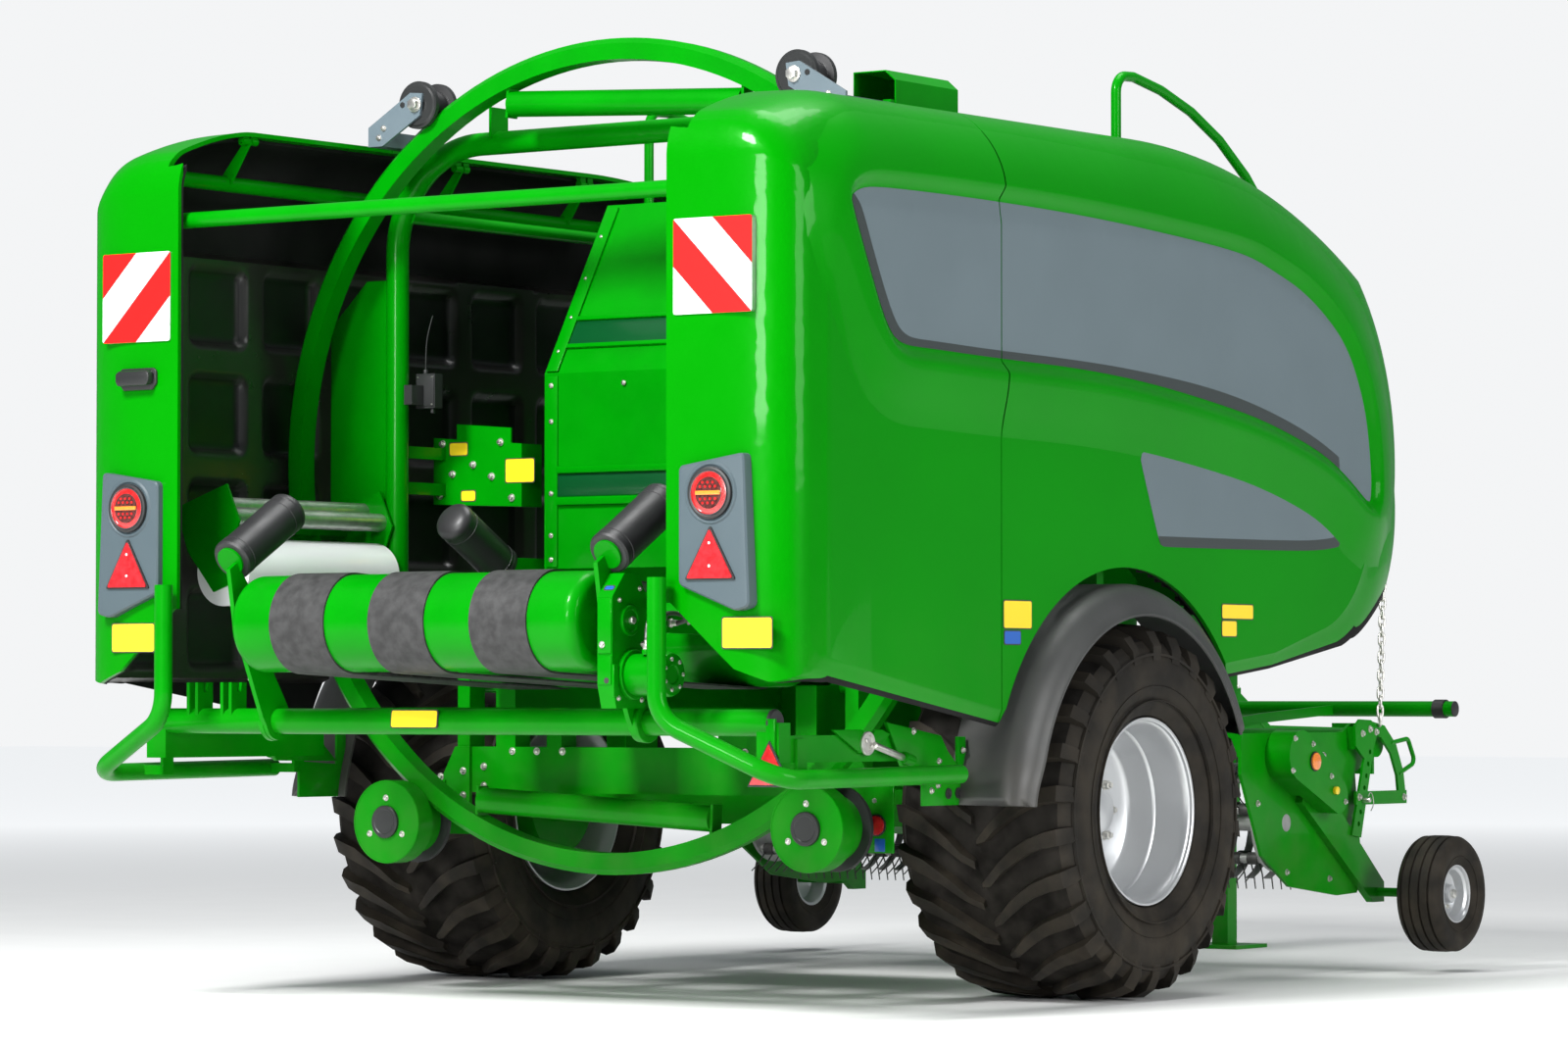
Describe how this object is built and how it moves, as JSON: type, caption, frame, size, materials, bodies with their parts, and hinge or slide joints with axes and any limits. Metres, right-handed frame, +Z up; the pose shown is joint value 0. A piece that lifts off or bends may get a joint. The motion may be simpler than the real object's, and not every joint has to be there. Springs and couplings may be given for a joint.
{
  "type": "bale wrapper",
  "caption": "Towed round baler with a turning wrapping ring behind its bale chamber, green, with moulded side doors, pick-up and drawbar.",
  "frame": {"origin": "on the ground, at the middle of the machine's length and width", "axes": "+X forward to the tractor, +Y to the left, +Z up"},
  "size_m": [6.1572, 2.9492, 3.069],
  "materials": {
    "green_paint": "gloss",
    "green_gloss": "gloss",
    "grey_paint": "satin",
    "lamp_grey": "matte",
    "tyre_rubber": "matte",
    "silver_rim": "satin",
    "black_plastic": "matte",
    "dark_rubber": "matte",
    "steel": "satin",
    "white_film": "satin"
  },
  "bodies": {
    "chassis": {"axle_beam": "green_paint", "main_frame": "green_paint", "rear_frame": "green_paint", "guard_rails": "green_paint", "ring_arch": "green_paint", "door_rails": "green_paint", "chamber_front": "green_paint", "chamber_rollers_front": "steel", "mudguards": "black_plastic", "crop_intake": "green_paint", "front_cabinet": "green_paint", "hand_rails": "green_paint", "gearbox": "grey_paint", "drawbar": "green_paint", "hitch_eye": "steel", "jack_sleeve": "green_paint", "roller_arms": "grey_paint", "drive_cover": "green_paint", "control_box": "black_plastic", "roof_cover": "green_paint"},
    "ring": {"wrapping_ring": "green_paint", "ring_rollers": "green_paint", "film_dispensers": "green_paint", "stretch_rollers": "steel", "film_rolls": "white_film"},
    "table": {"table_frame": "green_paint", "table_drive": "steel", "table_belts": "dark_rubber", "side_rollers": "dark_rubber"},
    "drum_rear": {"rear_drum": "green_paint"},
    "drum_front": {"front_drum": "green_paint"},
    "chamber_gate": {"chamber_door": "green_paint", "chamber_rollers_rear": "steel"},
    "pickup": {"pickup_frame": "green_paint", "height_stops": "green_paint", "pickup_drive_case": "green_paint"},
    "reel": {"pickup_reel": "steel"},
    "jack": {"jack_leg": "steel"},
    "pto": {"pto_shaft": "steel"},
    "wheel_left": {"tyre_left": "tyre_rubber", "rim_left": "silver_rim"},
    "gauge_wheel_left": {"gauge_tyre_left": "tyre_rubber", "gauge_rim_left": "silver_rim"},
    "lower_roller_left": {"lower_ring_roller_left": "green_paint"},
    "upper_roller_left": {"upper_ring_roller_left": "dark_rubber"},
    "door_left": {"side_door_rear_left": "green_gloss", "side_door_front_left": "green_gloss", "door_liner_left": "black_plastic", "rear_lamps_left": "lamp_grey"},
    "wheel_right": {"tyre_right": "tyre_rubber", "rim_right": "silver_rim"},
    "gauge_wheel_right": {"gauge_tyre_right": "tyre_rubber", "gauge_rim_right": "silver_rim"},
    "lower_roller_right": {"lower_ring_roller_right": "green_paint"},
    "upper_roller_right": {"upper_ring_roller_right": "dark_rubber"},
    "door_right": {"side_door_rear_right": "green_gloss", "side_door_front_right": "green_gloss", "door_liner_right": "black_plastic", "rear_lamps_right": "lamp_grey"}
  },
  "joints": [
    {"name": "wheel_turn_left", "type": "hinge", "parent": "chassis", "child": "wheel_left", "pos_m": [-1.06, 1.152, 0.6], "axis": [0, 1, 0], "continuous": true},
    {"name": "gauge_wheel_turn_left", "type": "hinge", "parent": "pickup", "child": "gauge_wheel_left", "pos_m": [1.045, 1.37, 0.275], "axis": [0, 1, 0], "continuous": true},
    {"name": "lower_roller_turn_left", "type": "hinge", "parent": "chassis", "child": "lower_roller_left", "pos_m": [-1.98, 0.832, 0.557], "axis": [1, 0, 0], "continuous": true},
    {"name": "upper_roller_turn_left", "type": "hinge", "parent": "chassis", "child": "upper_roller_left", "pos_m": [-1.98, 0.754, 2.9], "axis": [1, 0, 0], "continuous": true},
    {"name": "door_swing_left", "type": "hinge", "parent": "chassis", "child": "door_left", "pos_m": [-1.06, 1.03, 2.752], "axis": [1, 0, 0], "range_deg": [0, 70]},
    {"name": "wheel_turn_right", "type": "hinge", "parent": "chassis", "child": "wheel_right", "pos_m": [-1.06, -1.152, 0.6], "axis": [0, 1, 0], "continuous": true},
    {"name": "gauge_wheel_turn_right", "type": "hinge", "parent": "pickup", "child": "gauge_wheel_right", "pos_m": [1.045, -1.37, 0.275], "axis": [0, 1, 0], "continuous": true},
    {"name": "lower_roller_turn_right", "type": "hinge", "parent": "chassis", "child": "lower_roller_right", "pos_m": [-1.98, -0.832, 0.557], "axis": [1, 0, 0], "continuous": true},
    {"name": "upper_roller_turn_right", "type": "hinge", "parent": "chassis", "child": "upper_roller_right", "pos_m": [-1.98, -0.754, 2.9], "axis": [1, 0, 0], "continuous": true},
    {"name": "door_swing_right", "type": "hinge", "parent": "chassis", "child": "door_right", "pos_m": [-1.06, -1.03, 2.752], "axis": [-1, 0, 0], "range_deg": [0, 70]},
    {"name": "ring_turn", "type": "hinge", "parent": "chassis", "child": "ring", "pos_m": [-1.98, 0, 1.733], "axis": [1, 0, 0], "continuous": true},
    {"name": "table_tip", "type": "hinge", "parent": "chassis", "child": "table", "pos_m": [-2.784, 0, 0.888], "axis": [0, -1, 0], "range_deg": [0, 35]},
    {"name": "rear_drum_turn", "type": "hinge", "parent": "table", "child": "drum_rear", "pos_m": [-2.923, 0, 1.19], "axis": [0, 1, 0], "continuous": true},
    {"name": "front_drum_turn", "type": "hinge", "parent": "table", "child": "drum_front", "pos_m": [-1.86, 0, 1.132], "axis": [0, 1, 0], "continuous": true},
    {"name": "chamber_gate_swing", "type": "hinge", "parent": "chassis", "child": "chamber_gate", "pos_m": [-0.76, 0, 2.62], "axis": [0, 1, 0], "range_deg": [0, 35]},
    {"name": "pickup_lift", "type": "hinge", "parent": "chassis", "child": "pickup", "pos_m": [0.02, 0, 0.7], "axis": [0, 1, 0], "range_deg": [0, 3.5]},
    {"name": "reel_turn", "type": "hinge", "parent": "pickup", "child": "reel", "pos_m": [0.44, 0, 0.53], "axis": [0, 1, 0], "continuous": true},
    {"name": "pto_turn", "type": "hinge", "parent": "chassis", "child": "pto", "pos_m": [0.94, 0, 1.125], "axis": [1, 0, 0], "continuous": true},
    {"name": "jack_slide", "type": "slide", "parent": "chassis", "child": "jack", "axis": [0, 0, 1], "range_m": [0, 0.35]}
  ]
}
